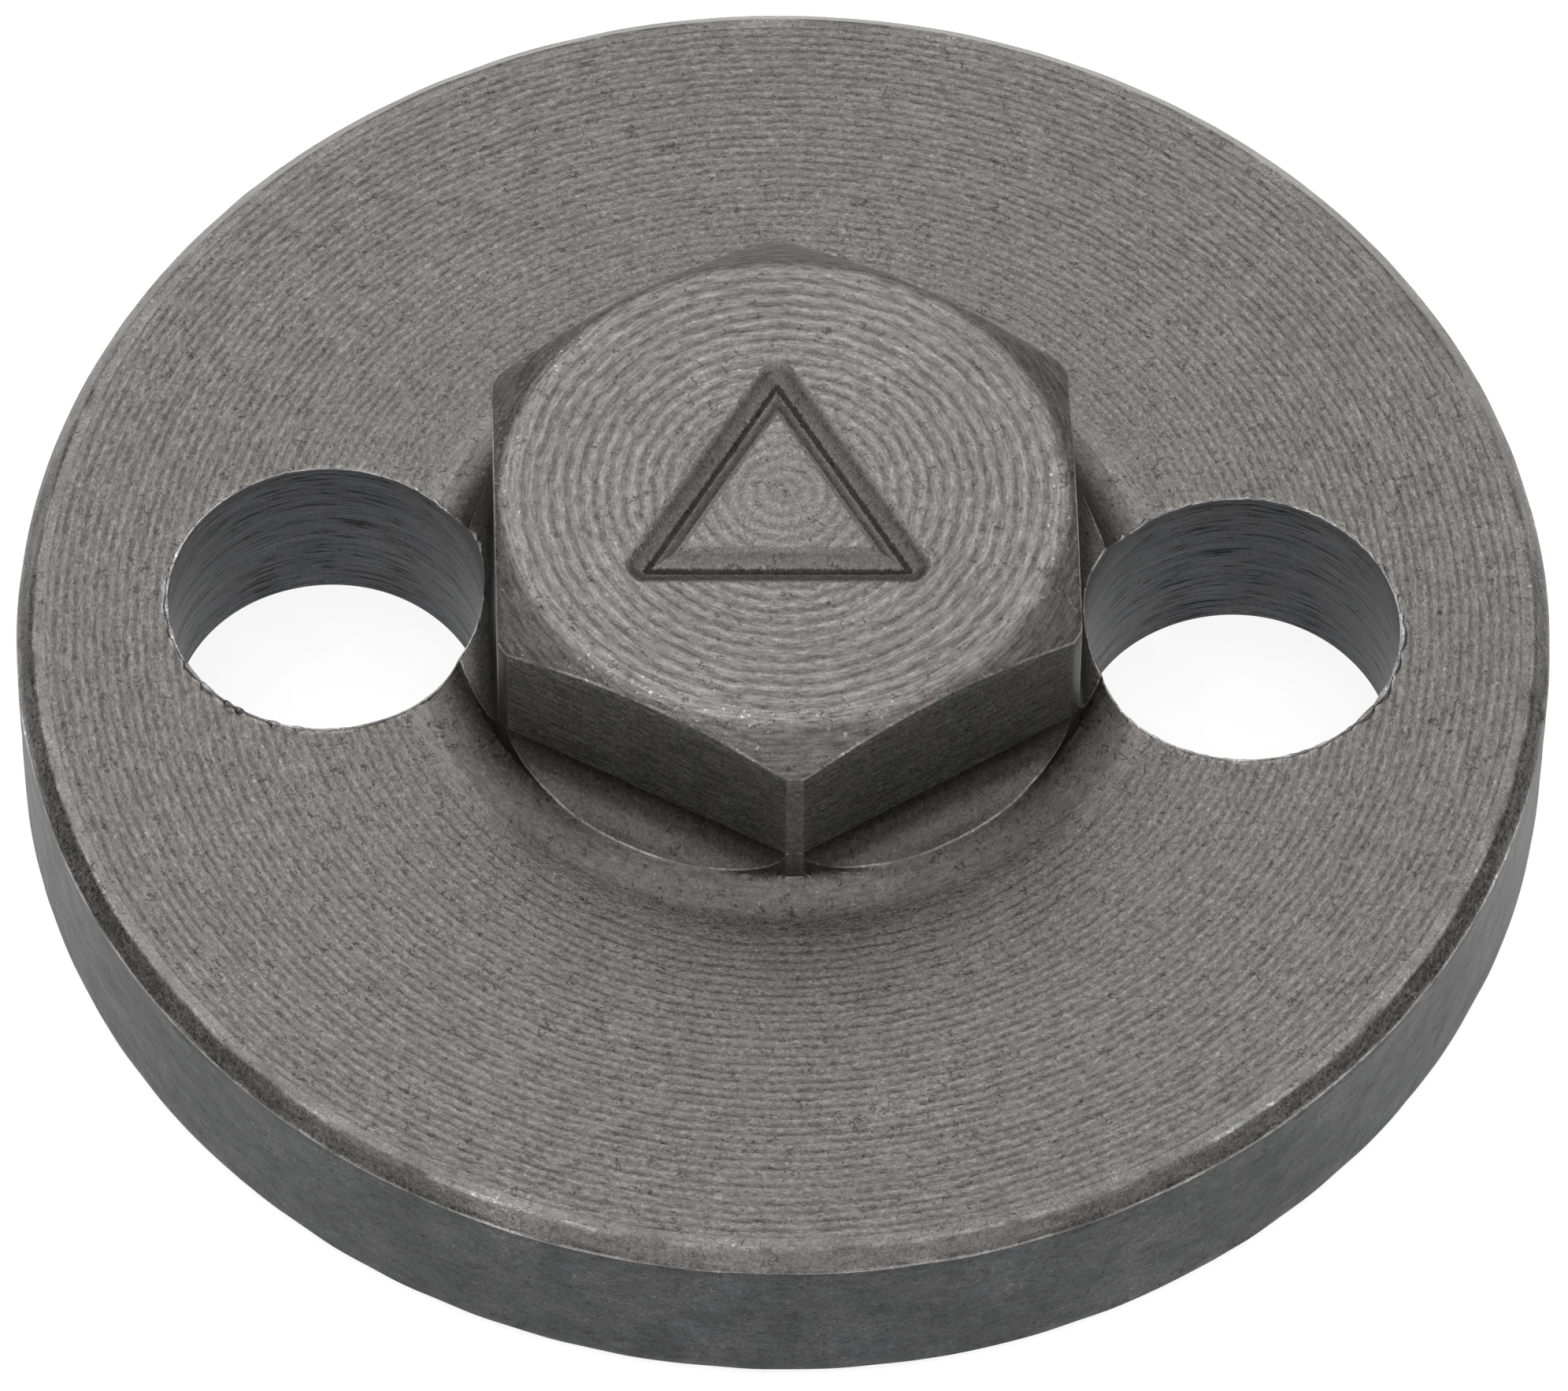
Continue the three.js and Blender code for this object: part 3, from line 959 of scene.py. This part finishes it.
def make_turned_steel():
    """The zones that were turned on a lathe."""
    face = (0.175, 0.171, 0.163)
    steel("flange_face", face, fine=22, long=80, streak_relief=0.004, streak_tone=0.35,
          cloud_tone=0.04, grooves=0.34, ridges=0.22, grain_tone=0.45, lips=0.5, rarity=0.77)
    steel("crown_face", (0.19, 0.186, 0.178), roughness=0.47, fine=20, long=14,
          streak_relief=0.004, streak_tone=0.35, grooves=0.36, ridges=0.38, grain_tone=0.36)
    steel("smooth_band", (0.205, 0.201, 0.193), roughness=0.42, fine=14, long=12,
          streak_tone=0.48, grain_tone=0.34, sparkle=2.5, sparkle_from=0.965, rarity=0.76,
          fade=(CROWN_RADIUS - 0.1, CROWN_RADIUS + 0.15, 0.66))
    steel("corner_land", (0.26, 0.255, 0.245), roughness=0.45, cloud_tone=0.2, sides=0.35,
          hollow=(4.85, 4.2))
    steel("boss_foot", (0.14, 0.135, 0.13), roughness=0.4, streak_relief=0.003, fine=14, long=24,
          streak_tone=0.25, grain_tone=0.42, sides=0.47, fillet_top=1.2, rarity=0.75)
    steel("boss_skirt", (0.17, 0.163, 0.157), roughness=0.36, fine=14, long=24,
          streak_tone=0.25, grain_tone=0.42, sides=0.6, rarity=0.75)
    steel("rolled_edge", (0.2, 0.197, 0.19), roughness=0.45, cloud_tone=0.25, sparkle=1.8,
          sparkle_from=0.97)
    steel("rim_chamfer", (0.19, 0.187, 0.18), roughness=0.28, cloud_tone=0.25)
    # The rim's dark tone is painted shade.
    steel("rim", (0.065, 0.066, 0.068), roughness=0.46, across="height", fine=6, long=30,
          dent_relief=0.06, cloud_tone=0.2, blotch=0.1, rarity=0.71, grain_tone=0.6, sparkle=1.6,
          sparkle_from=0.93)
    steel("underside", face)


def make_cut_steel():
    """Milled, drilled, tapped and stamped zones, and rubbed edges with a painted highlight."""
    steel("wrench_flat", (0.165, 0.165, 0.161), across="height", fine=14, long=8,
          streak_tone=0.35)
    steel("milled_ledge", (0.1, 0.097, 0.094), roughness=0.38)
    # Rubbed edges: bright from wear, and lighter still as a painted highlight.
    steel("worn_highlit_edge", (0.25, 0.247, 0.24), roughness=0.4, cloud_tone=0.35, sparkle=2.0,
          sparkle_from=0.94, blotch=0.3)
    # The hole walls' dark tone is painted shade.
    steel("drilled_wall", (0.055, 0.056, 0.059), roughness=0.42, across="height",
          centre=HOLE_OFFSET, fine=13, long=3, streak_tone=0.4, streak_relief=0.015, score=0.75)
    steel("thread", (0.15, 0.148, 0.143), roughness=0.42, across="height", fine=9, long=8)
    steel("stamped", (0.16, 0.156, 0.149), hollow=(CROWN - 0.24, CROWN - MARK_DEPTH + 0.03))


# ---------------------------------------------------------------- floor, light and camera
FLOOR_HALF = 1500
FLOOR_DROP = 0.02
FLOOR_GLOW = 0.82

KEY_PLACE = (-80, 160, 300)
KEY_TARGET = (0, 0, 4)
KEY_SIZE = 220
KEY_POWER = 0.15

SKY_SIDES = 0.35
SKY_TOP = 0.6
SKY_GLOW = (0.1, 1.2)

CAMERA_AZIMUTH = math.radians(1.452)
CAMERA_ELEVATION = math.radians(55.363)
CAMERA_ROLL = math.radians(0.721)
CAMERA_DISTANCE = 272.18
CAMERA_SLIDE = 0.008
CAMERA_LIFT = -1.705
CAMERA_LENS = 299.9
CAMERA_SENSOR = 36


def make_floor():
    """A plain pale floor just below the nut."""
    half, drop = FLOOR_HALF * MM, -FLOOR_DROP * MM
    corners = [(-half, -half, drop), (half, -half, drop), (half, half, drop), (-half, half, drop)]
    mesh = bpy.data.meshes.new("floor")
    mesh.from_pydata(corners, [], [(0, 1, 2, 3)])
    floor = bpy.data.objects.new("floor", mesh)
    bpy.context.scene.collection.objects.link(floor)
    material = bpy.data.materials.new("pale_floor")
    material.use_nodes = True
    tree = material.node_tree
    shader = tree.nodes["Principled BSDF"]
    shader.inputs["Roughness"].default_value = 0.9
    shader.inputs["Emission Color"].default_value = (1, 1, 1, 1)
    shader.inputs["Emission Strength"].default_value = FLOOR_GLOW
    speckle = noise(tree, add(tree, "TexCoord").outputs["Object"], 900.0)
    tone = spread(tree, speckle, 0.34, 0.38)
    tree.links.new(combine(tree, tone, tone, tone), shader.inputs["Base Color"])
    mesh.materials.append(material)


def make_lamp():
    """A soft square lamp above and behind the nut, to the left."""
    light = bpy.data.lights.new("key", "AREA")
    light.shape = "SQUARE"
    light.size = KEY_SIZE * MM
    light.energy = KEY_POWER
    lamp = bpy.data.objects.new("key", light)
    lamp.location = Vector(KEY_PLACE) * MM
    aim = Vector(KEY_TARGET) - Vector(KEY_PLACE)
    lamp.rotation_euler = aim.to_track_quat("-Z", "Y").to_euler()
    bpy.context.scene.collection.objects.link(lamp)


def make_sky():
    """A bright dome over the front and the back, dim at the sides and low down."""
    world = bpy.data.worlds.new("studio")
    world.use_nodes = True
    tree = world.node_tree
    heading = add(tree, "SeparateXYZ", Vector=add(tree, "TexCoord").outputs["Generated"])
    sideways = maths(tree, "MULTIPLY", maths(tree, "ABSOLUTE", heading.outputs[0]), SKY_SIDES)
    reach = maths(tree, "SUBTRACT", heading.outputs[2], sideways)
    glow = ranged(tree, reach, 0.0, SKY_TOP, *SKY_GLOW)
    glow.node.interpolation_type = "SMOOTHSTEP"
    tree.links.new(glow, tree.nodes["Background"].inputs["Strength"])
    tree.nodes["Background"].inputs["Color"].default_value = (1, 1, 1, 1)
    bpy.context.scene.world = world


def make_camera():
    """The camera looks at the flange's face from above, with the two holes side by side."""
    back = Vector((
        math.sin(CAMERA_AZIMUTH) * math.cos(CAMERA_ELEVATION),
        -math.cos(CAMERA_AZIMUTH) * math.cos(CAMERA_ELEVATION),
        math.sin(CAMERA_ELEVATION)))
    level = Vector((math.cos(CAMERA_AZIMUTH), math.sin(CAMERA_AZIMUTH), 0))
    upright = back.cross(level)
    right = level * math.cos(CAMERA_ROLL) + upright * math.sin(CAMERA_ROLL)
    up = upright * math.cos(CAMERA_ROLL) - level * math.sin(CAMERA_ROLL)
    data = bpy.data.cameras.new("camera")
    data.lens = CAMERA_LENS
    data.sensor_width = CAMERA_SENSOR
    data.clip_start = 0.01
    camera = bpy.data.objects.new("camera", data)
    spot = Vector((0, 0, FACE)) + back * CAMERA_DISTANCE + right * CAMERA_SLIDE + up * CAMERA_LIFT
    turn = Matrix((right, up, back)).transposed().to_4x4()
    camera.matrix_world = Matrix.Translation(spot * MM) @ turn
    bpy.context.scene.collection.objects.link(camera)
    bpy.context.scene.camera = camera


make_turned_steel()
make_cut_steel()
nut = make_nut()
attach(nut, BODY)
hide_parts(NODE)
make_floor()
make_lamp()
make_sky()
make_camera()
bpy.context.scene.view_settings.view_transform = "Standard"
